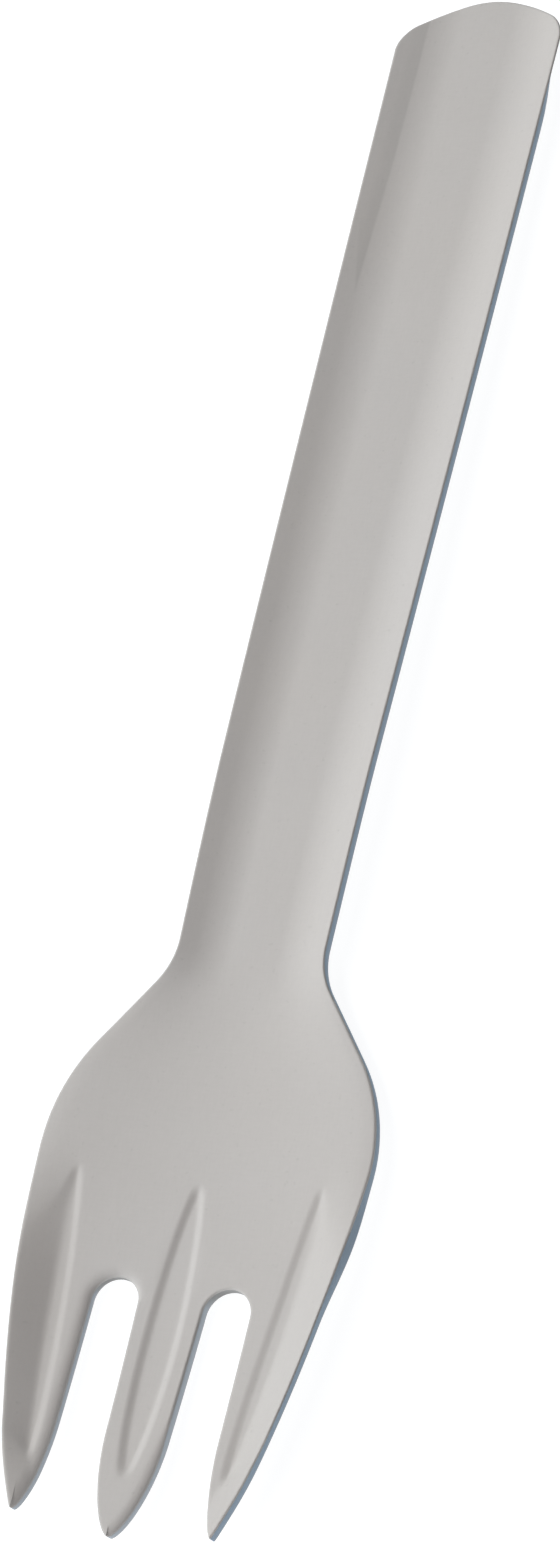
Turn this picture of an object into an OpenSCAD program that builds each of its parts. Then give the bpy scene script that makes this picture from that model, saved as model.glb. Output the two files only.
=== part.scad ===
// Paper fork with three tines, pressed from a stack of bonded paperboard plies.
// The origin is under the middle of the length, on the plane that the fork rests on.
// +Y runs to the end of the handle, -Y to the tines, and the eating face looks up, to +Z.

/* [Length] */
// From the end of the handle to the tip of the middle tine
overall_l = 160; // [150:1:175]
// From the start of the neck to the tip of the middle tine
head_l = 53.5; // [51:0.1:58]
// From the widest place of the head to the tip of the middle tine
wide_l = 33.8; // [32:0.2:35.5]
// From the top of the two slots to the tip of the middle tine
tine_l = 22.25; // [18:0.05:25]
// How far the outer tips stop short of the middle one
outer_short = 1.05; // [0:0.05:3]

/* [Handle] */
// Width beside the end of the handle
handle_end_w = 18.3; // [15:0.1:20]
// Width where the handle meets the neck
neck_w = 14.7; // [12:0.1:17]
// How far the rounded end stands out past its corners
end_bulge = 4.35; // [1:0.05:7]
// Corner radius at the end
end_corner_r = 1.7; // [0.5:0.1:3]
// How far the lower edge is drawn in at the end
end_draw = 0.85; // [0:0.05:1]
// Length over which the lower edge is drawn in
end_draw_l = 12; // [6:0.5:20]

/* [Head] */
// Width of the head at its widest
head_w = 32.4; // [29:0.1:36]
// Slope of the shoulders from the length of the fork
shoulder_a = 36.4; // [33:0.2:41]
// Radius of the hollow corner at the neck
neck_r = 6.95; // [4:0.05:8]
// Radius of the round of the shoulders
shoulder_r = 16.5; // [15:0.5:18]
// Radius of the long bow down the outer tines
side_r = 140; // [120:1:180]
// How far the lower edge flares out below the shoulders
rim_flare = 0.3; // [0:0.05:0.4]
// Length of that flare
rim_flare_l = 14; // [8:0.5:16]

/* [Tines] */
// Width of the middle tine at its root
middle_tine_w = 6.46; // [5:0.02:7]
// Width of the middle tine where its point starts
middle_point_w = 5.7; // [4.6:0.05:6.2]
// Width of a slot at its root
slot_w = 4.54; // [4.4:0.01:4.9]
// How much wider each slot gets on the outer tine's side, down to the points
slot_spread = 0.06; // [0:0.02:0.4]
// Depth of the round of a slot's top
slot_round = 2.25; // [1:0.05:2.6]
// Length of the pointed part of the tines
point_l = 9.1; // [6:0.1:11]
// Half the distance between the outer tips
outer_tip_x = 9.5; // [8.6:0.01:10]

/* [Board] */
// Thickness of the smooth liner on each face
liner_t = 0.18; // [0.12:0.01:0.3]
// Thickness of each of the three inner plies
ply_t = 0.28; // [0.2:0.01:0.4]

/* [Relief] */
// Depth of the channel along the handle
channel_d = 1.13; // [0.4:0.01:1.6]
// Depth of the shallow dish across the head
head_d = 1.02; // [0.6:0.01:1.4]
// What is left of the head's dish between the slots
root_d = 0.55; // [0.2:0.01:0.9]
// Length over which the head's dish gets shallower down to the slots
root_fade_l = 12; // [8:0.5:14]
// Further rise of the wings at the outer tines' roots
wing_d = 1.5; // [0.4:0.05:1.8]
// Rise of the wings at the tips
wing_tip_d = 0.5; // [0:0.05:0.8]
// From where the wings start to rise to the tip of the middle tine
wing_back = 35; // [33:0.2:37]
// Length over which the wings rise
wing_l = 14.5; // [12:0.5:18]
// How far inside the line between an outer groove's ends its wing starts
wing_gap = 0.1; // [0:0.05:0.6]
// Length over which the channel goes over into the head's dish
fade_l = 8.5; // [7:0.5:14]
// From the end of that stretch to the tip of the middle tine
fade_back = 45; // [43:0.2:46.5]
// Length over which the dish and the wings flatten towards the tips
flatten_l = 20; // [12:0.1:22]
// Rise of the handle's underside over the rest plane, where its arch is highest
arch_lift = 0.79; // [0:0.01:1.5]
// From the top of that arch to the tip of the middle tine
arch_back = 72; // [65:0.5:90]
// Rise of the tips' underside over the rest plane
tip_lift = 1.25; // [0:0.05:3]
// Length over which the tips rise
tip_lift_l = 22; // [14:0.5:24]
// Length of the flat under the dish
pad_l = 17; // [8:0.5:19]
// Length of the flat under the end of the handle
end_flat_l = 8; // [4:0.5:14]

/* [Grooves] */
// Depth of the middle groove
groove_d = 0.25; // [0:0.01:0.3]
// Depth of the outer grooves
outer_groove_d = 0.18; // [0:0.01:0.3]
// Width of the middle groove between the middles of its walls
groove_w = 2.9; // [2:0.05:3.4]
// Width of the outer grooves between the middles of their walls
outer_groove_w = 1.75; // [1.4:0.05:2.4]
// Width of a groove's sloped wall
groove_wall = 0.9; // [0.4:0.05:1]
// Length of the middle groove
groove_l = 26; // [20:0.1:28]
// From the lower end of the middle groove to the tip of the middle tine
groove_back = 5.1; // [4:0.1:8]
// Length of the outer grooves
outer_groove_l = 26.2; // [20:0.1:28]
// From the lower end of the outer grooves to the tip of the middle tine
outer_groove_back = 5.6; // [4.5:0.1:8]
// Half the distance between the outer grooves at their upper ends
outer_groove_top_x = 12; // [11.4:0.05:12.6]
// Half the distance between the outer grooves at their lower ends
outer_groove_low_x = 9.4; // [9.2:0.05:9.8]
// How far the outer grooves bow out between their ends
outer_groove_bow = 0.2; // [0:0.05:0.5]

/* [Hidden] */

face_colour = [0.78, 0.77, 0.75];
ply_colour = [0.74, 0.73, 0.71];
core_colour = [0.71, 0.70, 0.68];

// Places along the length
end_y = overall_l / 2;
tip_y = -overall_l / 2;
end_side_y = end_y - end_bulge;
neck_y = tip_y + head_l;
wide_y = tip_y + wide_l;
slot_y = tip_y + tine_l;
outer_tip_y = tip_y + outer_short;
point_y = tip_y + point_l;
fade_y = tip_y + fade_back;
wing_y = tip_y + wing_back;
arch_y = tip_y + arch_back;
pad_y = tip_y + tip_lift_l + pad_l;
end_draw_y = end_side_y - end_draw_l;
flare_y = wide_y - rim_flare_l / 2;

// Places across the width
slot_x = (middle_tine_w + slot_w) / 2;
outer_root_x = middle_tine_w / 2 + slot_w;

// The stack: heights of the surfaces between plies, from the eating face down
stack_t = 2 * liner_t + 3 * ply_t;
drops = [0, liner_t, liner_t + ply_t, liner_t + 2 * ply_t, liner_t + 3 * ply_t, stack_t];

// How the handle's sides bow: the share by which they leave the straight line
bow_share = 0.2;
// Shares of the half width between which a side's slope grows to its full steepness
channel_ramp_shares = [0.3, 0.8];
dish_ramp_shares = [0, 0.65];
// The share of the half width from where the dish runs out level at its edge
dish_level_share = 0.88;
// Powers of the curves that the points, the tips' rise and the leaf-shaped grooves follow
inner_point_shares = [1.85, 0.66];
outer_point_shares = [3.2, 0.62];
tip_lift_share = 1.6;
flatten_share = 1.5;
leaf_share = 1.12;
// The share of a wing's width over which its slope grows to full steepness
wing_ramp_share = 0.3;
// The column lines beside a groove stay within these shares of a strip's width
floor_shares = [0.06, 0.25];
wall_shares = [0.09, 0.17];
// Where the outer strip's guide line lies above the grooves, and how near its sides it may come
guide_share = 0.58;
centre_shares = [0.42, 0.64];
// Angle below the widest place where the shoulders' round goes over into the long bow
bow_a = 4;

// Counts of the surface grid: points across a strip, and rows down each stretch
strip_n = 6;
corner_n = 3;
handle_n = 13;
neck_n = 4;
shoulder_n = 4;
round_n = 5;
side_n = 6;
slot_n = 4;
tine_n = 6;
point_n = 7;

function smooth(v) = let(c = min(max(v, 0), 1)) c * c * (3 - 2 * c);
function mix(a, b, s) = a + (b - a) * s;

// Half the width of the outline at y, with the outer tines' sides run on past their points
neck_end_y = neck_y - neck_r * sin(shoulder_a);
neck_end_x = neck_w / 2 + neck_r * (1 - cos(shoulder_a));
round_x = head_w / 2 - shoulder_r;
round_start_y = wide_y + shoulder_r * sin(shoulder_a);
round_start_x = round_x + shoulder_r * cos(shoulder_a);
bow_start_y = wide_y - shoulder_r * sin(bow_a);
bow_x = round_x + (shoulder_r - side_r) * cos(bow_a);
bow_y = wide_y + (side_r - shoulder_r) * sin(bow_a);

function handle_half(y) =
    let(s = (y - neck_y) / (end_side_y - neck_y))
    mix(neck_w, handle_end_w, (1 + bow_share) * s - bow_share * s * s) / 2;

function half_w(y) =
    y >= neck_y ? handle_half(y)
    : y >= neck_end_y ? neck_w / 2 + neck_r - sqrt(neck_r * neck_r - pow(neck_y - y, 2))
    : y >= round_start_y ? mix(neck_end_x, round_start_x, (neck_end_y - y) / (neck_end_y - round_start_y))
    : y >= bow_start_y ? round_x + sqrt(shoulder_r * shoulder_r - pow(y - wide_y, 2))
    : bow_x + sqrt(side_r * side_r - pow(y - bow_y, 2));

// Height of a side whose slope grows from 0 to 1 between two shares of the half width
function side_ramp(u, from, to) =
    let(q = min(max(u - from, 0), to - from)) q * q / (2 * (to - from)) + max(u - to, 0);

// Height of the channel's and of the dish's side at share u of the half width, 1 at the edge
function channel_bank(u) =
    side_ramp(u, channel_ramp_shares[0], channel_ramp_shares[1])
    / side_ramp(1, channel_ramp_shares[0], channel_ramp_shares[1]);
function dish_side(u) =
    side_ramp(u, dish_ramp_shares[0], dish_ramp_shares[1]) - side_ramp(u, dish_level_share, 1);
function dish_bank(u) = dish_side(u) / dish_side(1);

// Height of the eating face along the middle of the fork
function floor_z(y) =
    stack_t
    + arch_lift
        * min(max((end_y - end_flat_l - y) / (end_y - end_flat_l - arch_y), 0), 1)
        * smooth((y - pad_y) / (arch_y - pad_y))
    + tip_lift * pow(min(max((tip_y + tip_lift_l - y) / tip_lift_l, 0), 1), tip_lift_share);

// How far the edges stand over the middle, by the channel, by the dish and by the wings
function channel_rise(y) = channel_d * smooth((y - fade_y) / fade_l);
function flatten(y) = pow(min(max((tip_y + flatten_l - y) / flatten_l, 0), 1), flatten_share);
function dish_rise(y) =
    (mix(root_d, head_d, smooth((y - slot_y) / root_fade_l)) - root_d * flatten(y))
    * (1 - smooth((y - fade_y) / fade_l));
function wing_rise(y) =
    wing_d * smooth((wing_y - y) / wing_l) - (wing_d - wing_tip_d) * flatten(y);

// A wing rises from its groove to the outline
function wing_bank(x, y) =
    let(start = mix(outer_groove[0], outer_groove[1], groove_share(outer_groove, y)) - wing_gap)
    side_ramp((x - start) / (half_w(y) - start), 0, wing_ramp_share)
    / side_ramp(1, 0, wing_ramp_share);

// Height of the eating face over its middle, without the grooves
function side_z(x, y) =
    let(u = abs(x) / half_w(y))
    channel_rise(y) * channel_bank(u) + dish_rise(y) * dish_bank(u)
    + wing_rise(y) * wing_bank(abs(x), y);

// Grooves: x at the upper end and at the lower end, y at the upper end, length, width, depth, bow
groove_low_y = tip_y + groove_back;
outer_groove_low_y = tip_y + outer_groove_back;
middle_groove = [0, 0, groove_low_y + groove_l, groove_l, groove_w, groove_d, 0];
outer_groove = [
    outer_groove_top_x, outer_groove_low_x, outer_groove_low_y + outer_groove_l, outer_groove_l,
    outer_groove_w, outer_groove_d, outer_groove_bow
];

function groove_share(g, y) = min(max((g[2] - y) / g[3], 0), 1);
function groove_x(g, y) =
    mix(g[0], g[1], groove_share(g, y)) + g[6] * sin(180 * groove_share(g, y));
function groove_half(g, y) =
    g[4] / 2 * sqrt(max(sin(180 * pow(groove_share(g, y), leaf_share)), 0));
function groove_depth(g, x, y) =
    let(
        inside = groove_half(g, y) + groove_wall / 2 - abs(x - groove_x(g, y)),
        ends = min(g[2] - y, y - (g[2] - g[3]))
    )
    g[5] * smooth(inside / groove_wall) * smooth(ends / groove_wall);

// Height of a surface of the stack: the press thins every ply alike under a groove
function sheet_z(x, y, drop) =
    floor_z(y)
    + side_z(x, y)
    - drop
    - (groove_depth(middle_groove, x, y) + groove_depth(outer_groove, abs(x), y)) * (1 - drop / stack_t);

// A point runs out along 1 - (1 - u^p)^q, which is blunt at its very tip
function run_out(u, shares) = 1 - pow(1 - pow(u, shares[0]), shares[1]);
function point_u(y, end) = min(max((point_y - y) / (point_y - end), 0), 1);

// Half the width of a slot's round at y, as a share
function slot_open(y) =
    y > slot_y - slot_round ? sqrt(1 - pow(1 - (slot_y - y) / slot_round, 2)) : 1;
function tine_s(y) = min(max((slot_y - y) / (slot_y - point_y), 0), 1);

function middle_edge(y) =
    let(full = mix(middle_tine_w, middle_point_w, tine_s(y)) / 2)
    mix(slot_x, full, slot_open(y)) * (1 - run_out(point_u(y, tip_y), inner_point_shares));

function inner_edge(y) =
    let(
        full = outer_root_x + slot_spread * tine_s(y),
        open = mix(slot_x, full, slot_open(y))
    )
    mix(open, outer_tip_x, run_out(point_u(y, outer_tip_y), inner_point_shares));

function outer_edge(y) =
    mix(half_w(y), outer_tip_x, run_out(point_u(y, outer_tip_y), outer_point_shares));

// How far the outer side moves out at a share of the stack's depth
function side_shift(y, depth_share) =
    depth_share * (
        rim_flare * (1 - smooth(abs(y - flare_y) / (rim_flare_l / 2)))
        - end_draw * smooth((y - end_draw_y) / end_draw_l)
    );

// Points across an outer strip, from its inner to its outer side, with lines along its groove
function strip_line(a, b, centre, half) =
    let(
        w = b - a,
        floor_half = min(max(half - groove_wall / 2, w * floor_shares[0]), w * floor_shares[1]),
        wall = min(max(groove_wall, w * wall_shares[0]), w * wall_shares[1])
    )
    [a, centre - floor_half - wall, centre - floor_half, centre, centre + floor_half,
     centre + floor_half + wall, b];

function outer_centre(y, a, b) =
    y > outer_groove[2] ? mix(a, b, guide_share)
    : mix(
        mix(a, b, guide_share),
        groove_x(outer_groove, y),
        smooth((outer_groove[2] - y) / groove_wall / 2)
    );

function outer_line(y, a, b) =
    strip_line(a, b, tine_centre(y, a, b), groove_half(outer_groove, y));
function tine_centre(y, a, b) =
    min(max(outer_centre(y, a, b), mix(a, b, centre_shares[0])), mix(a, b, centre_shares[1]));
function middle_line(y, a) = strip_line(-a, a, 0, groove_half(middle_groove, y));

// Body rows: [y beside the edge, half width], from the end of the handle to the slots
function steps(from, to, n) = [for (i = [1 : n]) mix(from, to, i / n)];
corner_y = end_side_y - end_corner_r;
corner_rows = [for (i = [0 : corner_n])
    let(a = 90 - 90 * i / corner_n)
    [corner_y + end_corner_r * sin(a), handle_half(corner_y) - end_corner_r * (1 - cos(a))]];
plain_ys = concat(
    steps(corner_y, neck_y, handle_n),
    steps(neck_y, neck_end_y, neck_n),
    steps(neck_end_y, round_start_y, shoulder_n),
    steps(round_start_y, bow_start_y, round_n),
    steps(bow_start_y, slot_y, side_n)
);
body_rows = concat(corner_rows, [for (y = plain_ys) [y, half_w(y)]]);
body_n = len(body_rows);

// The outer strips of the body start at the same share of the width as the slots do
slot_share = slot_x / half_w(slot_y);

function bulge_y(row, x) =
    let(
        reach = handle_half(corner_y),
        ramp = min(max((row[0] - end_draw_y) / end_draw_l, 0), 1)
    )
    row[0] + end_bulge * ramp * (1 - pow(min(abs(x) / reach, 1), 2));

function body_line(row) =
    let(
        w = row[1],
        a = w * slot_share,
        right = outer_line(row[0], a, w),
        left = [for (i = [0 : strip_n]) -right[strip_n - i]],
        middle = middle_line(row[0], a)
    )
    concat(left, [for (i = [1 : strip_n - 1]) middle[i]], right);

function place(x, y, drop) =
    let(
        share = drop / stack_t,
        edge = max(half_w(y), abs(x)),
        shift = side_shift(y, share) * x / edge,
        back = end_draw * share * smooth((y - end_side_y) / end_bulge)
    )
    [x + shift, y - back, sheet_z(x, y, drop)];

function body_points(drop) =
    [for (row = body_rows) for (x = body_line(row)) place(x, bulge_y(row, x), drop)];

// Tine rows, the same number on each tine, and one last point at the tip
function tine_ys(end) = concat(
    [for (i = [1 : slot_n]) slot_y - slot_round * (1 - cos(90 * i / slot_n))],
    steps(slot_y - slot_round, point_y, tine_n),
    [for (i = [1 : point_n]) mix(point_y, end, sin(90 * i / (point_n + 1)))]
);
tine_rows = slot_n + tine_n + point_n;

function tine_line(side, y) =
    side == 0 ? middle_line(y, middle_edge(y))
    : let(line = outer_line(y, inner_edge(y), outer_edge(y)))
    side > 0 ? line : [for (i = [0 : strip_n]) -line[strip_n - i]];

function tine_points(side, drop) =
    let(end = side == 0 ? tip_y : outer_tip_y)
    concat(
        [for (y = tine_ys(end)) for (x = tine_line(side, y)) place(x, y, drop)],
        [place(side * outer_tip_x, end, drop)]
    );

function surface_points(drop) =
    concat(body_points(drop), tine_points(-1, drop), tine_points(0, drop), tine_points(1, drop));

// Index of a body point and of a tine point: tine 0 is the left one, 1 the middle, 2 the right
row_n = 3 * strip_n + 1;
tine_size = tine_rows * (strip_n + 1) + 1;
surface_n = body_n * row_n + 3 * tine_size;
function body_i(j, i) = j * row_n + i;
function tine_i(t, j, i) =
    j == 0 ? body_i(body_n - 1, t * strip_n + i)
    : body_n * row_n + t * tine_size + (j > tine_rows ? tine_size - 1 : (j - 1) * (strip_n + 1) + i);

// Two triangles for each cell, seen clockwise from above
function cell(a, b, c, d) = [[a, b, c], [a, c, d]];
body_faces = [for (j = [0 : body_n - 2]) for (i = [0 : row_n - 2])
    each cell(body_i(j, i), body_i(j, i + 1), body_i(j + 1, i + 1), body_i(j + 1, i))];
tine_faces = [for (t = [0 : 2]) for (j = [0 : tine_rows - 1]) for (i = [0 : strip_n - 1])
    each cell(tine_i(t, j, i), tine_i(t, j, i + 1), tine_i(t, j + 1, i + 1), tine_i(t, j + 1, i))];
tip_faces = [for (t = [0 : 2]) for (i = [0 : strip_n - 1])
    [tine_i(t, tine_rows, i), tine_i(t, tine_rows, i + 1), tine_i(t, tine_rows + 1, 0)]];
top_faces = concat(body_faces, tine_faces, tip_faces);

// The rim, clockwise from above: along the end, down the right side, round each tine, up the left
function down(t, i) = [for (j = [1 : tine_rows]) tine_i(t, j, i)];
function up(t, i) = [for (j = [tine_rows : -1 : 1]) tine_i(t, j, i)];
function tip(t) = [tine_i(t, tine_rows + 1, 0)];
rim = concat(
    [for (i = [0 : row_n - 1]) body_i(0, i)],
    [for (j = [1 : body_n - 1]) body_i(j, row_n - 1)],
    down(2, strip_n), tip(2), up(2, 0),
    [body_i(body_n - 1, 2 * strip_n)],
    down(1, strip_n), tip(1), up(1, 0),
    [body_i(body_n - 1, strip_n)],
    down(0, strip_n), tip(0), up(0, 0),
    [for (j = [body_n - 1 : -1 : 1]) body_i(j, 0)]
);
rim_faces = [for (k = [0 : len(rim) - 1])
    let(a = rim[k], b = rim[(k + 1) % len(rim)])
    each [[a, a + surface_n, b], [b, a + surface_n, b + surface_n]]];
under_faces = [for (f = top_faces) [f[0] + surface_n, f[2] + surface_n, f[1] + surface_n]];
sheet_faces = concat(top_faces, under_faces, rim_faces);

// One ply of the stack, between two of its surfaces
module sheet(k) {
    polyhedron(
        points = concat(surface_points(drops[k]), surface_points(drops[k + 1])),
        faces = sheet_faces,
        convexity = 6
    );
}

module front_liner() {
    color(face_colour) sheet(0);
}

module front_ply() {
    color(ply_colour) sheet(1);
}

module core_ply() {
    color(core_colour) sheet(2);
}

module back_ply() {
    color(ply_colour) sheet(3);
}

module back_liner() {
    color(face_colour) sheet(4);
}

front_liner();
front_ply();
core_ply();
back_ply();
back_liner();
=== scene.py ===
"""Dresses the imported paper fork: five bonded sheets, punched as one blank and pressed into shape."""

import math
from collections import namedtuple
from types import SimpleNamespace

import bpy
import numpy as np
from bpy.props import FloatProperty, FloatVectorProperty, IntProperty, PointerProperty
from mathutils import Matrix, Vector


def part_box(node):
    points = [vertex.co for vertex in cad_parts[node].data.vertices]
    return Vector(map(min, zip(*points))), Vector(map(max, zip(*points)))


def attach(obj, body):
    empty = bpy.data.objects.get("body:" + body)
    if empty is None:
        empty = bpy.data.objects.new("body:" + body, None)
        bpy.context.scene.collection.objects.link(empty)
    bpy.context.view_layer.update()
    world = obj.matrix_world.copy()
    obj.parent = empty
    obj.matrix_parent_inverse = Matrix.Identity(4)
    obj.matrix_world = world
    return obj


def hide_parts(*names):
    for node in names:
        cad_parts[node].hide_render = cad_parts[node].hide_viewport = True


bl_info = {
    "name": "Paper fork",
    "version": (1, 0, 0),
    "blender": (4, 5, 0),
    "location": "3D View > Sidebar > Fork",
    "description": "Punches and presses the sheets of a paper fork and sets them in a small studio",
    "category": "Add Mesh",
}

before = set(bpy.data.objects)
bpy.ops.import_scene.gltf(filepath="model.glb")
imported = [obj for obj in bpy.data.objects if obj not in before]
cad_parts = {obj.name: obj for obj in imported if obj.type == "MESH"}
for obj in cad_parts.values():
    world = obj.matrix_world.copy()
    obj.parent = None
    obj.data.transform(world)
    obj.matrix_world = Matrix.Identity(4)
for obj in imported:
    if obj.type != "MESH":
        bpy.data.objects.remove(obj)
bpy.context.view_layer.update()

MM = 0.001
# The camera's fitted focal length and the photograph's height, both in pixels
FOCAL_PIXELS = 3118.9
PHOTO_HEIGHT = 1542
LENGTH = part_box("front_liner")[1].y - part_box("front_liner")[0].y


# Sizes and colours that a user may change


def length(name, default_mm, description):
    """A length property, given in millimetres and kept in metres."""
    return FloatProperty(name=name, default=default_mm * MM, min=0.0, unit="LENGTH", precision=5,
                         description=description)


def share(name, default, description):
    """A factor from 0 to 1."""
    return FloatProperty(name=name, default=default, min=0.0, max=1.0, subtype="FACTOR",
                         description=description)


def number(name, default, description, low=0.0, high=1000.0):
    """A plain number."""
    return FloatProperty(name=name, default=default, min=low, max=high, description=description)


def colour(name, default, description):
    """A linear colour."""
    return FloatVectorProperty(name=name, default=default, size=3, min=0.0, max=1.0,
                               subtype="COLOR", description=description)


def vector(name, default, subtype, description, **more):
    """A place or a direction."""
    return FloatVectorProperty(name=name, default=default, size=3, subtype=subtype,
                               description=description, **more)


class OutlineSizes(bpy.types.PropertyGroup):
    """The outline that the blank is punched to, seen from above."""

    overall_l: FloatProperty(name="Length", default=LENGTH, min=0.1, unit="LENGTH",
                             description="From the end of the handle to the middle tip")
    head_l: length("Head length", 53.5, "From the start of the neck to the middle tip")
    wide_l: length("Widest place", 33.8, "From the widest place of the head to the middle tip")
    tine_l: length("Tine length", 22.25, "From the top of the slots to the middle tip")
    outer_short: length("Outer tips short by", 1.05, "How far the outer tips stop short")
    handle_end_w: length("Handle end width", 18.3, "Width beside the end of the handle")
    neck_w: length("Neck width", 14.7, "Width where the handle meets the neck")
    end_bulge: length("End bulge", 4.35, "How far the rounded end stands out past its corners")
    end_corner_r: length("End corner radius", 1.7, "Corner radius at the end of the handle")
    end_draw: length("End draw", 0.85, "How far the lower edge is drawn in at the end")
    end_draw_l: length("End draw length", 12.0, "Length over which the lower edge is drawn in")
    head_w: length("Head width", 32.4, "Width of the head at its widest")
    shoulder_a: FloatProperty(name="Shoulder slope", default=math.radians(36.4), min=0.5, max=0.8,
                              subtype="ANGLE", description="Slope of the shoulders")
    neck_r: length("Neck radius", 6.95, "Radius of the hollow corner at the neck")
    shoulder_r: length("Shoulder radius", 16.5, "Radius of the round of the shoulders")
    side_r: length("Side radius", 140.0, "Radius of the long bow down the outer tines")
    rim_flare: length("Rim flare", 0.3, "How far the lower edge flares out below the shoulders")
    rim_flare_l: length("Rim flare length", 14.0, "Length of that flare")
    middle_tine_w: length("Middle tine width", 6.46, "Width of the middle tine at its root")
    middle_point_w: length("Middle point width", 5.7, "Width where the middle point starts")
    slot_w: length("Slot width", 4.54, "Width of a slot at its root")
    slot_spread: length("Slot spread", 0.06, "How much wider a slot gets down to the points")
    slot_round: length("Slot round", 2.25, "Depth of the round of a slot's top")
    point_l: length("Point length", 9.1, "Length of the pointed part of the tines")
    outer_tip_x: length("Outer tip place", 9.5, "Half the distance between the outer tips")


class ReliefSizes(bpy.types.PropertyGroup):
    """The relief that the press gives to the blank."""

    channel_d: length("Channel depth", 1.13, "Depth of the channel along the handle")
    head_d: length("Head depth", 1.02, "Depth of the shallow dish across the head")
    root_d: length("Root depth", 0.55, "What is left of that dish between the slots")
    root_fade_l: length("Root fade length", 12.0, "Length over which it gets shallower there")
    wing_d: length("Wing rise", 1.42, "Further rise of the wings at the outer tines' roots")
    wing_tip_d: length("Wing tip rise", 0.5, "Rise of the wings at the tips")
    wing_back: length("Wing place", 35.0, "From where the wings start to rise to the middle tip")
    wing_l: length("Wing length", 14.5, "Length over which the wings rise")
    wing_gap: length("Wing gap", 0.1, "How far inside its groove's straight line a wing starts")
    fade_l: length("Fade length", 8.5, "Length over which the channel goes over into the dish")
    fade_back: length("Fade place", 45.0, "From the end of that stretch to the middle tip")
    flatten_l: length("Flatten length", 20.0, "Length over which it all flattens to the tips")
    arch_lift: length("Arch lift", 0.79, "Rise of the handle's underside at its arch's top")
    arch_back: length("Arch place", 72.0, "From the arch's top to the middle tip")
    tip_lift: length("Tip lift", 1.25, "Rise of the tips' underside over the table")
    tip_lift_l: length("Tip lift length", 22.0, "Length over which the tips rise")
    pad_l: length("Pad length", 17.0, "Length of the flat under the dish")
    end_flat_l: length("End flat length", 8.0, "Length of the flat under the end of the handle")
    groove_d: length("Middle groove depth", 0.25, "Depth of the middle tine's groove")
    outer_groove_d: length("Outer groove depth", 0.18, "Depth of the outer tines' grooves")
    groove_w: length("Middle groove width", 2.9, "Its width between the middles of its walls")
    outer_groove_w: length("Outer groove width", 1.75, "Their width, measured alike")
    groove_wall: length("Groove wall", 0.9, "Width of a groove's sloped wall")
    wing_wall: length("Wing wall", 7.0, "Width of the outer grooves' wall on the side of the wing")
    wing_bow: length("Wing bow", 0.4, "How far a wing's foot bows out between its groove's ends")
    wing_melt: length("Wing melt", 1.2, "How far the start of a wing moves in at the tip")
    groove_l: length("Middle groove length", 26.0, "Length of the middle groove")
    groove_back: length("Middle groove place", 5.1, "From its lower end to the middle tip")
    outer_groove_l: length("Outer groove length", 26.2, "Length of the outer grooves")
    outer_groove_back: length("Outer groove place", 5.6, "From their lower ends to the middle tip")
    outer_groove_top_x: length("Outer groove top", 12.0, "Half their distance at the upper ends")
    outer_groove_low_x: length("Outer groove low", 9.4, "Half their distance at the lower ends")
    outer_groove_bow: length("Outer groove bow", 0.2, "How far they bow out between their ends")
    crisp_rim: length("Crisp rim", 0.2, "Rounding of the rim where the cut left it crisp")
    soft_rim: length("Soft rim", 1.1, "Rounding of the rim where the press rolled it over")
    soft_rim_d: length("Soft rim depth", 0.46, "How deep the rolled rim goes down")


class BoardSizes(bpy.types.PropertyGroup):
    """The stack of sheets."""

    liner_t: length("Liner", 0.18, "Thickness of the smooth liner on each face")
    ply_t: length("Ply", 0.28, "Thickness of each of the three inner plies")


class Finish(bpy.types.PropertyGroup):
    """Colours and grain of the paper, with the painted light and shade on it."""

    face: colour("Face paper", (0.474, 0.466, 0.454), "The calendered paper of both faces")
    # edge and core: the board's own greyer cut edge, with a blue tint that is painted cool light on walls
    # turned away from the lamps
    edge: colour("Cut edge", (0.306, 0.393, 0.48), "The cut edge of the liners and the plies")
    core: colour("Core edge", (0.296, 0.383, 0.469), "The cut edge of the middle ply")
    # slot edge: paler cut edges inside the slots, painted bounce light from the tines and the floor
    slot_edge_bounce_light: colour("Slot edge", (0.44, 0.49, 0.535), "The paler cut edges inside the slots")
    # arch edge: dark cut edges at the tops of the slots, painted shade where the wall faces away from the
    # lamps
    arch_shade_edge: colour("Arch edge", (0.30, 0.305, 0.30), "The scorched cut edges at the tops of the slots")
    # strip: how much darker the painted shadow strip on the upper handle is
    strip: share("Die strip", 0.12, "How much darker the strip is that the die left on the handle")
    grain: share("Grain", 0.5, "How strong the fibres and the clouding of the paper are")
    roughness: share("Roughness", 0.6, "Roughness of the coated face")
    seed: IntProperty(name="Seed", default=7, min=0, description="Shifts the fibre pattern")


class Studio(bpy.types.PropertyGroup):
    """The camera's place at the photograph's view, the lights and the floor."""

    eye: vector("Eye", (0.12558, -0.12015, 0.23372), "TRANSLATION", "Where the camera stands",
                unit="LENGTH")
    aim: vector("Aim", (-0.44405, 0.38735, -0.80795), "DIRECTION", "Where the camera looks")
    up: vector("Up", (-0.03138, 0.89445, 0.44606), "DIRECTION", "The camera's up side")
    focal_share: number("Focal length", FOCAL_PIXELS / PHOTO_HEIGHT,
                        "Focal length as a share of the picture's height", 0.1, 20.0)
    key: number("Key light", 12.8, "Power of the soft light on the left, in watts")
    high: number("High light", 5.0, "Power of the soft light high on the left, in watts")
    low: number("Low light", 6.3, "Power of the low light on the left, in watts")
    front: number("Front light", 5.1, "Power of the soft light beside the camera, in watts")
    floor: colour("Floor", (0.22, 0.223, 0.226), "The pale floor")
    glow: number("Floor glow", 0.9, "How much the floor glows, as a photographer's light table does")


class ForkSettings(bpy.types.PropertyGroup):
    """Everything that the operators read."""

    outline: PointerProperty(type=OutlineSizes)
    relief: PointerProperty(type=ReliefSizes)
    board: PointerProperty(type=BoardSizes)
    finish: PointerProperty(type=Finish)
    studio: PointerProperty(type=Studio)


# Node trees as Python expressions


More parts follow.
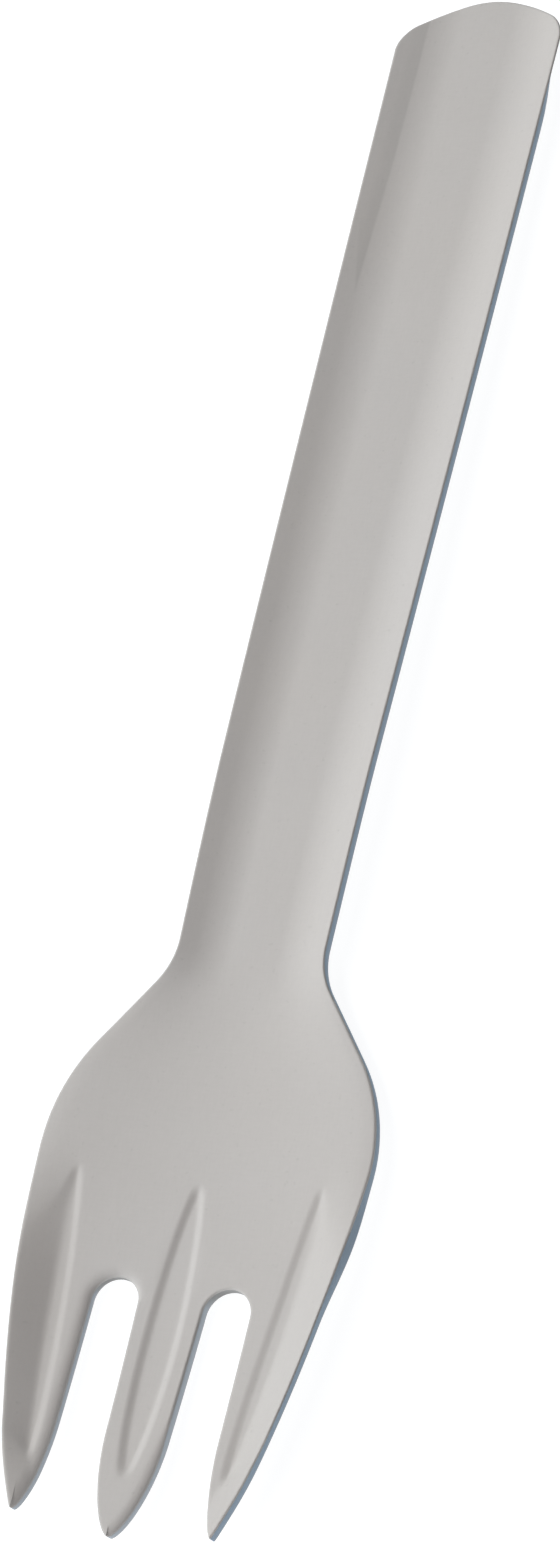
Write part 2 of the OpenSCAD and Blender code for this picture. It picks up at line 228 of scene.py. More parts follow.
def maths(operation, reflected=False):
    """A method that adds a Math node for a value and what stands on its other side."""
    def method(self, *others):
        node = self.tree.nodes.new("ShaderNodeMath")
        node.operation = operation
        terms = (*others, self) if reflected else (self, *others)
        for slot, value in zip(node.inputs, terms):
            feed(self.tree, slot, value)
        return Value(self.tree, node.outputs[0])
    return method


class Value:
    """A number socket of a node tree. Sums and products on it add the tree's Math nodes."""

    __add__ = __radd__ = maths("ADD")
    __mul__ = __rmul__ = maths("MULTIPLY")
    __sub__, __rsub__ = maths("SUBTRACT"), maths("SUBTRACT", reflected=True)
    __truediv__, __rtruediv__ = maths("DIVIDE"), maths("DIVIDE", reflected=True)
    __pow__, __rpow__ = maths("POWER"), maths("POWER", reflected=True)
    __abs__, sine, root = maths("ABSOLUTE"), maths("SINE"), maths("SQRT")
    least, most = maths("MINIMUM"), maths("MAXIMUM")

    def __init__(self, tree, socket):
        self.tree, self.socket = tree, socket

    def clamped(self):
        return self.most(0.0).least(1.0)

    def smooth(self):
        """An ease from 0 to 1."""
        c = self.clamped()
        return c * c * (3.0 - 2.0 * c)


def feed(tree, slot, value):
    """Gives a socket its number, colour or link."""
    if isinstance(value, Value):
        value = value.socket
    if isinstance(value, bpy.types.NodeSocket):
        tree.links.new(value, slot)
    elif value is not None:
        slot.default_value = value


class Tree:
    """Adds nodes to a shader or geometry tree."""

    def __init__(self, tree):
        self.tree = tree
        tree.nodes.clear()

    def add(self, kind, settings=None, **sockets):
        """A node of a type, with its settings first, and then its sockets by name or index."""
        node = self.tree.nodes.new(kind)
        for name, value in (settings or {}).items():
            setattr(node, name, value)
        for name, value in sockets.items():
            key = int(name[1:]) if name[0] == "i" and name[1:].isdigit() else name.replace("_", " ")
            feed(self.tree, node.inputs[key], value)
        return node

    def value(self, node, output=0):
        return Value(self.tree, node.outputs[output])

    def number(self, kind, settings=None, output=0, **sockets):
        """The number that comes out of a new node."""
        return self.value(self.add(kind, settings, **sockets), output)


def lerp(a, b, s):
    """The way from a to b, for numbers and for sockets."""
    return a + (b - a) * s


def nearness(gap, width):
    """1 where the gap is nothing, falling evenly to 0 at the width."""
    return 1.0 - (gap / width).clamped()


# The punched blank: a flat sheet with lines along its rims and its grooves

# The bow of the handle's sides, and where the shoulder's round goes over to the long bow
BOW_SHARE = 0.2
BOW_ANGLE = math.radians(4)
# The two powers of a point's side, beside a slot and on the outside
INNER_POINT = (1.85, 0.66)
OUTER_POINT = (3.2, 0.62)
# Above 1, a groove is widest a little below its middle
LEAF_POWER = 1.12

# Distances of the first lines from a rim, on the liners and on the plies, and of two more rows
EDGE_STEPS = np.array([0.0, 0.03, 0.08, 0.15, 0.24, 0.36, 0.52, 0.75]) * MM
PLAIN_EDGE_STEPS = np.array([0.0, 0.08, 0.24, 0.75]) * MM
MORE_STEPS = np.array([1.1, 1.7]) * MM
# Lines of half a strip before a groove's wall, on it and on its floor: liners, plies
LINER_LINES, PLY_LINES = (4, 5, 3), (1, 2, 1)
# The most that half a groove takes of half a strip, and the lines at the rim of what is left
GROOVE_ROOM, EDGE_ROOM = 0.8, 0.6
# Shares of an outer strip's width: its guide line above the groove, and the limits of its centre
GUIDE_SHARE = 0.58
CENTRE_SHARES = (0.42, 0.64)
# Limits of a groove's half floor and of its wall, as shares of the strip's width
FLOOR_SHARES = (0.06, 0.27)
WALL_SHARES = (0.07, 0.17)
# Rows of the handle, the neck, the shoulders' slope, their round and the head below them
BODY_ROWS = (56, 12, 10, 18, 20)
# Rows of a tine beside the round of its slots, down its shaft and down its point
ARCH_ROWS, SHAFT_ROWS, POINT_ROWS = 14, 22, 30


def clamp(v):
    return np.clip(v, 0, 1)


def ease(v):
    c = clamp(v)
    return c * c * (3 - 2 * c)


def quads(grid):
    """The faces between the rows and lines of a grid of points."""
    corners = (grid[1:, :-1], grid[1:, 1:], grid[:-1, 1:], grid[:-1, :-1])
    return np.stack(corners, axis=-1).reshape(-1, 4).tolist()


# A groove's ends across and along the fork, its bow, and the names of its width and its depth
Groove = namedtuple("Groove", "top_x low_x top_y reach bow width depth")


class Outline:
    """The edges of the blank at a place along the fork, as the CAD source has them."""

    def __init__(self, s, relief):
        self.s, self.relief = s, relief
        self.end_y, self.tip_y = s.overall_l / 2, -s.overall_l / 2
        self.end_side_y = self.end_y - s.end_bulge
        self.corner_y = self.end_side_y - s.end_corner_r
        self.neck_y = self.tip_y + s.head_l
        self.wide_y = self.tip_y + s.wide_l
        self.slot_y = self.tip_y + s.tine_l
        self.outer_tip_y = self.tip_y + s.outer_short
        self.point_y = self.tip_y + s.point_l
        self.fade_y = self.tip_y + relief.fade_back
        self.wing_y = self.tip_y + relief.wing_back
        self.arch_y = self.tip_y + relief.arch_back
        self.end_draw_y = self.end_side_y - s.end_draw_l
        self.flare_y = self.wide_y - s.rim_flare_l / 2
        self.slot_x = (s.middle_tine_w + s.slot_w) / 2
        self.outer_root_x = s.middle_tine_w / 2 + s.slot_w
        a = s.shoulder_a
        self.neck_end_y = self.neck_y - s.neck_r * math.sin(a)
        self.neck_end_x = s.neck_w / 2 + s.neck_r * (1 - math.cos(a))
        self.round_x = s.head_w / 2 - s.shoulder_r
        self.round_start_y = self.wide_y + s.shoulder_r * math.sin(a)
        self.round_start_x = self.round_x + s.shoulder_r * math.cos(a)
        self.bow_start_y = self.wide_y - s.shoulder_r * math.sin(BOW_ANGLE)
        self.bow_x = self.round_x + (s.shoulder_r - s.side_r) * math.cos(BOW_ANGLE)
        self.bow_y = self.wide_y + (s.side_r - s.shoulder_r) * math.sin(BOW_ANGLE)
        middle_low_y = self.tip_y + relief.groove_back
        outer_low_y = self.tip_y + relief.outer_groove_back
        self.grooves = {
            "middle": Groove(0.0, 0.0, middle_low_y + relief.groove_l, relief.groove_l, 0.0,
                             "groove_w", "groove_d"),
            "outer": Groove(relief.outer_groove_top_x, relief.outer_groove_low_x,
                            outer_low_y + relief.outer_groove_l, relief.outer_groove_l,
                            relief.outer_groove_bow, "outer_groove_w", "outer_groove_d"),
        }

    def handle_half(self, y):
        s = (y - self.neck_y) / (self.end_side_y - self.neck_y)
        return lerp(self.s.neck_w, self.s.handle_end_w, (1 + BOW_SHARE) * s - BOW_SHARE * s * s) / 2

    def half_width(self, y):
        """Half the width of the outline, with the outer tines' sides run on past their points."""
        s = self.s
        if y >= self.neck_y:
            return self.handle_half(y)
        if y >= self.neck_end_y:
            return s.neck_w / 2 + s.neck_r - math.sqrt(s.neck_r ** 2 - (self.neck_y - y) ** 2)
        if y >= self.round_start_y:
            slide = (self.neck_end_y - y) / (self.neck_end_y - self.round_start_y)
            return lerp(self.neck_end_x, self.round_start_x, slide)
        if y >= self.bow_start_y:
            return self.round_x + math.sqrt(s.shoulder_r ** 2 - (y - self.wide_y) ** 2)
        return self.bow_x + math.sqrt(s.side_r ** 2 - (y - self.bow_y) ** 2)

    def cut_half(self, y):
        """Half the width of the cut blank, with the rounded corners at the handle's end."""
        if y <= self.corner_y:
            return self.half_width(y)
        r = self.s.end_corner_r
        return self.handle_half(self.corner_y) - r + math.sqrt(max(r * r - (y - self.corner_y) ** 2, 0))

    def slot_open(self, y):
        depth = (self.slot_y - y) / self.s.slot_round
        return math.sqrt(max(1 - (1 - depth) ** 2, 0)) if depth < 1 else 1.0

    def tine_share(self, y):
        return clamp((self.slot_y - y) / (self.slot_y - self.point_y))

    def run_out(self, y, end, powers):
        """How far a point's side has come in to its tip, which is blunt at the very end."""
        u = clamp((self.point_y - y) / (self.point_y - end))
        return 1 - (1 - u ** powers[0]) ** powers[1]

    def middle_edge(self, y):
        s = self.s
        full = lerp(s.middle_tine_w, s.middle_point_w, self.tine_share(y)) / 2
        point = self.run_out(y, self.tip_y, INNER_POINT)
        return lerp(self.slot_x, full, self.slot_open(y)) * (1 - point)

    def inner_edge(self, y):
        full = self.outer_root_x + self.s.slot_spread * self.tine_share(y)
        start = lerp(self.slot_x, full, self.slot_open(y))
        return lerp(start, self.s.outer_tip_x, self.run_out(y, self.outer_tip_y, INNER_POINT))

    def outer_edge(self, y):
        point = self.run_out(y, self.outer_tip_y, OUTER_POINT)
        return lerp(self.half_width(y), self.s.outer_tip_x, point)

    def groove(self, name, y):
        """Where a groove's middle is at y, and half its width."""
        g = self.grooves[name]
        s = clamp((g.top_y - y) / g.reach)
        x = lerp(g.top_x, g.low_x, s) + g.bow * math.sin(math.pi * s)
        leaf = math.sqrt(max(math.sin(math.pi * s ** LEAF_POWER), 0))
        return x, getattr(self.relief, g.width) / 2 * leaf

    def side_shift(self, y):
        """How far the lowest edge stands out past the uppermost."""
        flare = self.s.rim_flare * (1 - ease(abs(y - self.flare_y) / (self.s.rim_flare_l / 2)))
        return flare - self.s.end_draw * ease((y - self.end_draw_y) / self.s.end_draw_l)


# The widest distance from a rim that the fields keep
GAP_LIMIT = 3 * MM
# How softly the left side of the head and of the left tine were rolled, and the middle tine's point
LEFT_SOFT, MIDDLE_SOFT = 0.35, 0.9
# The lengths over which that comes in, and how far over the middle tine's point it starts
HEAD_SOFT_L, MIDDLE_SOFT_L, MIDDLE_SOFT_ABOVE = 8 * MM, 6 * MM, 3 * MM
# Rim points that the softness is evened out over, and the least that counts
EVEN_POINTS, LEAST_SOFT = 9, 0.02
# Points compared with the rim at one time, and the least square of a rim step's length
CHUNK, TINY = 2000, 1e-16
# How far over the slots' tops the head's rim ends
HEAD_CLEAR = 0.2 * MM
# The slots' cut edges reach this far over their tops and stop this far short of the outer tips
OVER_TOP, SHORT_OF_TIP = 0.01 * MM, 0.05 * MM
# How far down from a slot's top its painted shade reaches
ARCH_L = 1.8 * MM


class Blank:
    """A grid of points over the outline: a body and three tines, each tine ending in one point."""

    def __init__(self, outline, fine):
        self.o = outline
        self.edge_steps = EDGE_STEPS if fine else PLAIN_EDGE_STEPS
        self.counts = LINER_LINES if fine else PLY_LINES
        self.strip_n = 2 * (len(self.edge_steps) + sum(self.counts) + 1)
        self.row_n = 3 * self.strip_n + 1
        self.places = []
        self.make_points()
        self.make_faces()
        self.fields = self.rim_fields()

    # Lines across

    def half_strip(self, room, floor_half, wall):
        """Distances from a strip's edge to its middle line, close at the rim and on the wall."""
        groove = min(floor_half + wall, GROOVE_ROOM * room)
        scale = groove / (floor_half + wall)
        floor_half, wall, room = floor_half * scale, wall * scale, room - groove
        between_n, wall_n, floor_n = self.counts
        edge = self.edge_steps * min(1, EDGE_ROOM * room / self.edge_steps[-1])
        return np.concatenate([
            edge,
            np.linspace(edge[-1], room, between_n + 2)[1:-1],
            np.linspace(room, room + wall, wall_n + 1)[:-1],
            np.linspace(room + wall, room + wall + floor_half, floor_n + 2),
        ])

    def strip(self, a, b, centre, groove_half):
        w, wall = b - a, self.o.relief.groove_wall
        floor_half = np.clip(groove_half - wall / 2, w * FLOOR_SHARES[0], w * FLOOR_SHARES[1])
        wall = np.clip(wall, w * WALL_SHARES[0], w * WALL_SHARES[1])
        left = a + self.half_strip(centre - a, floor_half, wall)
        right = b - self.half_strip(b - centre, floor_half, wall)
        return np.concatenate([left, right[-2::-1]])

    def outer_strip(self, y, a, b):
        groove_x, half = self.o.groove("outer", y)
        top_y = self.o.grooves["outer"].top_y
        guide = lerp(a, b, GUIDE_SHARE)
        centre = lerp(guide, groove_x, ease((top_y - y) / (2 * self.o.relief.groove_wall)))
        centre = np.clip(centre, lerp(a, b, CENTRE_SHARES[0]), lerp(a, b, CENTRE_SHARES[1]))
        return self.strip(a, b, centre, half)

    def middle_strip(self, y, a):
        return self.strip(-a, a, 0.0, self.o.groove("middle", y)[1])

    # Rows along

    def body_rows(self):
        o = self.o
        close = np.append(EDGE_STEPS, MORE_STEPS)
        ends = o.end_side_y - close
        marks = [ends[-1], o.neck_y, o.neck_end_y, o.round_start_y, o.bow_start_y, o.slot_y + close[-1]]
        plain = [np.linspace(a, b, n + 1)[1:] for a, b, n in zip(marks, marks[1:], BODY_ROWS)]
        return np.concatenate([ends, *plain, o.slot_y + close[-2::-1]])

    def tine_rows(self, end):
        o = self.o
        quarter = math.pi / 2
        arch = o.slot_y - o.s.slot_round * (1 - np.cos(np.linspace(0, quarter, ARCH_ROWS + 1)[1:]))
        shaft = np.linspace(o.slot_y - o.s.slot_round, o.point_y, SHAFT_ROWS + 1)[1:]
        point = lerp(o.point_y, end, np.sin(np.linspace(0, quarter, POINT_ROWS + 1)[1:-1]))
        return np.concatenate([arch, shaft, point])

    def place(self, x, y):
        """One point: its place before the draw, half the width there and how the draw moves it."""
        o = self.o
        half = o.half_width(y)
        shift = o.side_shift(y) * x / max(half, abs(x))
        back = -o.s.end_draw * ease((y - o.end_side_y) / o.s.end_bulge)
        self.places.append((x, y, half, shift, back))

    def make_points(self):
        o = self.o
        reach = o.handle_half(o.corner_y)
        slot_share = o.slot_x / o.half_width(o.slot_y)
        rows = self.body_rows()
        self.body_n = len(rows)
        for y in rows:
            half = o.cut_half(y)
            a = half * slot_share
            right = self.outer_strip(y, a, half)
            line = np.concatenate([-right[::-1], self.middle_strip(y, a)[1:-1], right])
            ramp = clamp((y - o.end_draw_y) / o.s.end_draw_l)
            for x in line:
                self.place(x, y + o.s.end_bulge * ramp * (1 - min(abs(x) / reach, 1) ** 2))
        for side in (-1, 0, 1):
            end = o.outer_tip_y if side else o.tip_y
            ys = self.tine_rows(end)
            self.tine_n = len(ys)
            for y in ys:
                if side:
                    line = self.outer_strip(y, o.inner_edge(y), o.outer_edge(y))
                    line = line if side > 0 else -line[::-1]
                else:
                    line = self.middle_strip(y, o.middle_edge(y))
                for x in line:
                    self.place(x, y)
            self.place(side * o.s.outer_tip_x, end)
        table = np.array(self.places)
        self.points, self.halves, self.shifts = table[:, :2], table[:, 2], table[:, 3:]

    # Faces and the rim

    def make_faces(self):
        n = self.strip_n
        body = np.arange(self.body_n * self.row_n).reshape(self.body_n, self.row_n)
        self.faces = quads(body)
        tip = body[-1, -1]
        loops = []
        for t in range(3):
            below = tip + 1 + np.arange(self.tine_n * (n + 1)).reshape(self.tine_n, n + 1)
            tip = below[-1, -1] + 1
            self.faces += quads(np.vstack([body[-1, t * n:(t + 1) * n + 1], below]))
            self.faces += [(tip, b, a) for a, b in zip(below[-1], below[-1, 1:])]
            loops.append([*below[:, -1], tip, *below[::-1, 0]])
        left, middle, right = loops
        self.rim = [*body[0], *body[1:, -1], *right, body[-1, 2 * n], *middle, body[-1, n], *left,
                    *body[:0:-1, 0]]

    # How near each point is to the rim, and how softly the press rolled that rim

    def soft_share(self, start, end):
        """Softness of the rim between two of its points. The right sides of the left tine and,
        at its point, of the middle tine came out rolled, with the round between them, and a
        little the left side of the head and of the left tine."""
        o = self.o
        x, y = (start + end) / 2
        heading = end - start
        if y > o.slot_y + HEAD_CLEAR:
            return LEFT_SOFT * ease((o.wide_y - y) / HEAD_SOFT_L) if x < 0 else 0.0
        if x < -o.slot_x:
            left_side = heading[1] > 0
            return LEFT_SOFT if left_side and x < -o.s.outer_tip_x else 1.0
        if x < 0 and y > o.slot_y - o.s.slot_round:
            return ease(-x / o.slot_x)
        if heading[1] < 0 and abs(x) < o.slot_x:
            return MIDDLE_SOFT * ease((o.point_y + MIDDLE_SOFT_ABOVE - y) / MIDDLE_SOFT_L)
        return 0.0

    def rim_fields(self):
        loop = self.points[self.rim]
        after = np.roll(loop, -1, axis=0)
        soft = np.array([self.soft_share(a, b) for a, b in zip(loop, after)])
        kernel = np.hanning(EVEN_POINTS) / np.hanning(EVEN_POINTS).sum()
        soft = np.convolve(np.pad(soft, EVEN_POINTS // 2, "wrap"), kernel, "valid")
        step = after - loop
        squares = np.maximum((step ** 2).sum(1), TINY)
        rolled = soft > LEAST_SOFT
        found = []
        for k in range(0, len(self.points), CHUNK):
            p = self.points[k:k + CHUNK, None, :]
            t = np.clip(((p - loop) * step).sum(2) / squares, 0, 1)
            d = np.sqrt(((loop + t[..., None] * step - p) ** 2).sum(2))
            near = d[:, rolled]
            found.append((d.min(1), near.min(1), soft[rolled][near.argmin(1)]))
        gap, soft_gap, soft_at = (np.concatenate(part) for part in zip(*found))
        return {"rim_gap": np.minimum(gap, GAP_LIMIT), "soft_gap": np.minimum(soft_gap, GAP_LIMIT),
                "soft_share": soft_at, **self.slot_fields()}

    def slot_fields(self):
        """Masks for painted light on the cut edges: 1 between the outer tips, where only the slots have
        cut edges (painted bounce light), and 1 at the slots' tops (painted shade).
        """
        x, y = np.abs(self.points[:, 0]), self.points[:, 1]
        inside = (x <= self.o.s.outer_tip_x - SHORT_OF_TIP) & (y <= self.o.slot_y + OVER_TOP)
        top = np.clip((y - self.o.slot_y + ARCH_L) / ARCH_L, 0, 1)
        return {"in_slot": inside.astype(float), "in_arch": inside * top * (2 - top)}

    def sheet(self, name, top, bottom, stack):
        """A flat sheet, its two faces still at one height, that knows how deep each point goes."""
        n = len(self.points)
        points = np.zeros((2 * n, 3))
        points[:, :2] = np.tile(self.points, (2, 1))
        under = [tuple(v + n for v in reversed(face)) for face in self.faces]
        loop = self.rim
        walls = [(a, b, b + n, a + n) for a, b in zip(loop, loop[1:] + loop[:1])]
        mesh = bpy.data.meshes.new(name)
        mesh.from_pydata(points.tolist(), [], self.faces + under + walls)
        depth = np.repeat([top, bottom], n)
        shifts = np.tile(self.shifts, (2, 1)) * (depth / stack)[:, None]
        fields = {key: np.tile(field, 2) for key, field in self.fields.items()}
        fields.update(drop=depth, half_width=np.tile(self.halves, 2),
                      draw_x=shifts[:, 0], draw_y=shifts[:, 1])
        for key, field in fields.items():
            attribute = mesh.attributes.new(key, "FLOAT", "POINT")
            attribute.data.foreach_set("value", field.astype(np.float32))
        is_wall = mesh.attributes.new("is_cut", "BOOLEAN", "FACE")
        is_wall.data.foreach_set("value", np.arange(len(mesh.polygons)) >= 2 * len(self.faces))
        return mesh


# The press: Geometry Nodes that give the flat sheet its relief

PRESS_NAME = "Press the sheet"
PRESS_INPUTS = [
    "channel_d", "head_d", "root_d", "root_fade_l", "wing_d", "wing_tip_d", "wing_l", "wing_gap",
    "fade_l", "flatten_l", "arch_lift", "tip_lift", "tip_lift_l", "groove_d", "outer_groove_d",
    "groove_w", "outer_groove_w", "groove_wall", "wing_wall", "wing_bow", "wing_melt",
    "crisp_rim", "soft_rim", "soft_rim_d",
]
# Shares of the half width between which slopes set in, and between which the dish levels out
CHANNEL_RAMP = (0.3, 0.8)
DISH_RAMP = (0.0, 0.65)
LEVEL_RAMP = (0.88, 1.0)
# Shares of a wing's width between which its slope sets in
WING_RAMP = (0.0, 0.2)
# How far over its groove's low end a wing's start begins to move in, and over what length
MELT_BEFORE, MELT_L = 1.5 * MM, 4.0 * MM
# Shares of a groove's length over which its wing-side wall opens and shuts
WALL_OPENS, WALL_SHUTS = 0.5, 0.2
# Powers of the curves of the tips' rise and of the flattening to the tips
TIP_LIFT_POWER, FLATTEN_POWER = 1.6, 1.5
# The least softness that the rolled rim is worked out with
LEAST_ROLL = 0.05
# Edges bent by more than this stay sharp
SHARP_ANGLE = math.radians(42)


def side_ramp(u, start, end):
    """Height of a side whose slope grows from 0 to 1 between two shares of the half width."""
    bend = (u - start).most(0.0).least(end - start)
    return bend * bend / (2 * (end - start)) + (u - end).most(0.0)


def whole_ramp(start, end):
    """What side_ramp comes to at the rim."""
    return 1 - (start + end) / 2


class Press:
    """The node tree that lifts each point of a flat sheet to its place in the pressed stack."""

    def __init__(self, outline, relief, board):
        self.o, self.relief = outline, relief
        self.group = bpy.data.node_groups.new(PRESS_NAME, "GeometryNodeTree")
        self.add_sockets()
        t = self.t = Tree(self.group)
        given = t.add("NodeGroupInput").outputs
        self.k = SimpleNamespace()
        for key in PRESS_INPUTS:
            setattr(self.k, key, Value(self.group, given[relief.bl_rna.properties[key].name]))
        where = t.add("ShaderNodeSeparateXYZ", Vector=t.add("GeometryNodeInputPosition").outputs[0])
        self.x, self.y = t.value(where, "X"), t.value(where, "Y")
        self.half = self.field("half_width")
        stack = 2 * board.liner_t + 3 * board.ply_t
        drop = self.field("drop")
        depth = drop / stack
        crisp, soft = self.rims()
        lowered = (self.grooves() + crisp.most(soft)) * (1.0 - depth)
        z = stack + self.middle() + self.sides() - drop - lowered + crisp * depth
        moved = t.add("ShaderNodeCombineXYZ", X=self.field("draw_x"), Y=self.field("draw_y"), Z=z)
        pressed = t.add("GeometryNodeSetPosition", Geometry=given["Geometry"], Offset=moved.outputs[0])
        real = t.add("GeometryNodeRealizeInstances", Geometry=pressed.outputs[0])
        papered = t.add("GeometryNodeSetMaterial", Geometry=real.outputs[0],
                        Material=given["Face paper"])
        is_cut = t.add("GeometryNodeInputNamedAttribute", {"data_type": "BOOLEAN"}, Name="is_cut")
        edged = t.add("GeometryNodeSetMaterial", Geometry=papered.outputs[0],
                      Selection=is_cut.outputs[0], Material=given["Cut edge"])
        t.add("NodeGroupOutput", Geometry=edged.outputs[0])

    def add_sockets(self):
        face = self.group.interface
        face.new_socket("Geometry", in_out="INPUT", socket_type="NodeSocketGeometry")
        for key in PRESS_INPUTS:
            prop = self.relief.bl_rna.properties[key]
            socket = face.new_socket(prop.name, in_out="INPUT", socket_type="NodeSocketFloat",
                                     description=prop.description)
            socket.subtype = "DISTANCE"
            socket.default_value = prop.default
        for name in ("Face paper", "Cut edge"):
            face.new_socket(name, in_out="INPUT", socket_type="NodeSocketMaterial")
        face.new_socket("Geometry", in_out="OUTPUT", socket_type="NodeSocketGeometry")

    def field(self, name):
        return self.t.number("GeometryNodeInputNamedAttribute", {"data_type": "FLOAT"}, Name=name)

    def middle(self):
        """Height of the middle of the fork's underside over the table."""
        o, k, y, relief = self.o, self.k, self.y, self.relief
        end_flat_y = o.end_y - relief.end_flat_l
        pad_y = o.tip_y + relief.tip_lift_l + relief.pad_l
        arch = ((end_flat_y - y) / (end_flat_y - o.arch_y)).clamped()
        arch = arch * ((y - pad_y) / (o.arch_y - pad_y)).smooth()
        tip_rise = ((o.tip_y + k.tip_lift_l - y) / k.tip_lift_l).clamped() ** TIP_LIFT_POWER
        return k.arch_lift * arch + k.tip_lift * tip_rise

    def sides(self):
        """Rise of the channel, the dish and the wings over the middle."""
        o, k, y, off = self.o, self.k, self.y, abs(self.x)
        across = off / self.half
        in_channel = ((y - o.fade_y) / k.fade_l).smooth()
        flatten = ((o.tip_y + k.flatten_l - y) / k.flatten_l).clamped() ** FLATTEN_POWER
        dish = lerp(k.root_d, k.head_d, ((y - o.slot_y) / k.root_fade_l).smooth())
        dish = (dish - k.root_d * flatten) * (1.0 - in_channel)
        wing = k.wing_d * ((o.wing_y - y) / k.wing_l).smooth()
        wing = wing - (k.wing_d - k.wing_tip_d) * flatten
        outer = o.grooves["outer"]
        down = ((outer.top_y - y) / outer.reach).clamped()
        wing_x = lerp(outer.top_x, outer.low_x, down) + k.wing_bow * (math.pi * down).sine()
        melt = ((outer.top_y - outer.reach + MELT_BEFORE - y) / MELT_L).smooth()
        wing_x = wing_x - k.wing_gap - k.wing_melt * melt
        channel_bank = side_ramp(across, *CHANNEL_RAMP) / whole_ramp(*CHANNEL_RAMP)
        dish_bank = side_ramp(across, *DISH_RAMP) - side_ramp(across, *LEVEL_RAMP)
        dish_bank = dish_bank / (whole_ramp(*DISH_RAMP) - whole_ramp(*LEVEL_RAMP))
        wing_bank = side_ramp((off - wing_x) / (self.half - wing_x), *WING_RAMP)
        side = k.channel_d * in_channel * channel_bank + dish * dish_bank
        return side + wing * wing_bank / whole_ramp(*WING_RAMP)

    def groove(self, g, off, far_wall):
        """Depth of a groove, whose wall away from the middle line is as wide as far_wall."""
        s = ((g.top_y - self.y) / g.reach).clamped()
        leaf = (math.pi * s ** LEAF_POWER).sine().most(0.0).root()
        centre = g.top_x + (g.low_x - g.top_x) * s + g.bow * (math.pi * s).sine()
        wall = self.k.groove_wall
        far_wall = lerp(wall, far_wall, (s / WALL_OPENS).smooth() * ((1.0 - s) / WALL_SHUTS).smooth())
        floor = leaf * getattr(self.k, g.width) / 2.0 - wall / 2.0
        near = (floor + wall + off - centre) / wall
        far = (floor + far_wall - off + centre) / far_wall
        ends = (g.top_y - self.y).least(self.y - (g.top_y - g.reach))
        return getattr(self.k, g.depth) * near.least(far).smooth() * (ends / wall).smooth()

    def grooves(self):
        middle, outer = self.o.grooves["middle"], self.o.grooves["outer"]
        return (self.groove(middle, self.x, self.k.groove_wall)
                + self.groove(outer, abs(self.x), self.k.wing_wall))

    def rims(self):
        """How far the face comes down at the rims that the cut left crisp, and at the rolled ones."""
        def rounded(gap, width):
            u = nearness(gap, width)
            return 1.0 - (1.0 - u * u).most(0.0).root()

        share = self.field("soft_share").most(LEAST_ROLL)
        crisp = rounded(self.field("rim_gap"), self.k.crisp_rim) * self.k.crisp_rim
        soft = rounded(self.field("soft_gap"), self.k.soft_rim * share)
        return crisp, soft * self.k.soft_rim_d * share


def press(name, flat_mesh, group, relief, face, edge):
    """Presses a flat sheet and returns the finished piece."""
    blank = bpy.data.objects.new(name + "_flat", flat_mesh)
    bpy.context.scene.collection.objects.link(blank)
    modifier = blank.modifiers.new("Press", "NODES")
    modifier.node_group = group
    given = {relief.bl_rna.properties[key].name: getattr(relief, key) for key in PRESS_INPUTS}
    given.update({"Face paper": face, "Cut edge": edge})
    for item in group.interface.items_tree:
        if item.name in given:
            modifier[item.identifier] = given[item.name]
    blank.update_tag()
    bpy.context.view_layer.update()
    evaluated = blank.evaluated_get(bpy.context.evaluated_depsgraph_get())
    mesh = bpy.data.meshes.new_from_object(evaluated)
    bpy.data.objects.remove(blank)
    bpy.data.meshes.remove(flat_mesh)
    mesh.name = name
    mesh.shade_smooth()
    mesh.set_sharp_from_angle(angle=SHARP_ANGLE)
    piece = bpy.data.objects.new(name, mesh)
    bpy.context.scene.collection.objects.link(piece)
    return piece


# Materials


# A noise pattern: its scale, detail and roughness, how far it changes the tone and the height of
# the paper, and how it is scaled along each axis
Pattern = namedtuple("Pattern", "scale detail rough tone height along", defaults=(0.0, 0.0, None))
CLOUDS = Pattern(90.0, 3.0, 0.55, 0.10)
FIBRES = Pattern(5200.0, 3.0, 0.6, 0.13, 0.55, (1.0, 0.16, 1.0))
CROSS_FIBRES = Pattern(4300.0, 2.0, 0.55, 0.10, 0.35, (0.22, 1.0, 1.0))
DENTS = Pattern(900.0, 2.0, 0.5, 0.0, 0.8)
SPECKS = Pattern(2300.0, 1.0, 0.4, 0.9)
WARMTH = Pattern(55.0, 2.0, 0.5)
LAYERS = Pattern(2600.0, 3.0, 0.6, 0.20, 0.6, (0.3, 0.3, 5.0))
OPEN_FIBRES = Pattern(3400.0, 3.0, 0.65, 0.22, 0.8)
FLOOR_CLOUDS = Pattern(6.0, 3.0, 0.5, 0.02)
# How far one step of the seed shifts the patterns
SEED_SHIFT = Vector((0.013, 0.007, 0.0))
FLOOR_SEED = 1


def opaque(tone):
    return (*tone, 1.0)


def paper_base(name, seed):
    material = bpy.data.materials.new(name)
    material.use_nodes = True
    t = Tree(material.node_tree)
    place = t.add("ShaderNodeTexCoord").outputs["Object"]
    moved = t.add("ShaderNodeMapping", Vector=place, Location=seed * SEED_SHIFT)
    return material, t, moved.outputs[0]


def noise(t, place, pattern):
    if pattern.along:
        place = t.add("ShaderNodeVectorMath", {"operation": "MULTIPLY"}, i0=place, i1=pattern.along)
        place = place.outputs[0]
    return t.number("ShaderNodeTexNoise", {"noise_dimensions": "3D"}, Vector=place,
                    Scale=pattern.scale, Detail=pattern.detail, Roughness=pattern.rough)


def grained(t, place, patterns, grain):
    """The patterns' numbers, and the tone and the height that they add up to."""
    numbers = [noise(t, place, pattern) for pattern in patterns]
    tone, height = 1.0, 0.0
    for number, pattern in zip(numbers, patterns):
        if pattern.tone:
            tone = tone + (number - 0.5) * (pattern.tone * grain)
        if pattern.height:
            height = height + number * pattern.height
    return numbers, tone, height


def kept_field(t, name):
    """A number that the sheet's points know."""
    return t.number("ShaderNodeAttribute", {"attribute_name": name}, output="Fac")


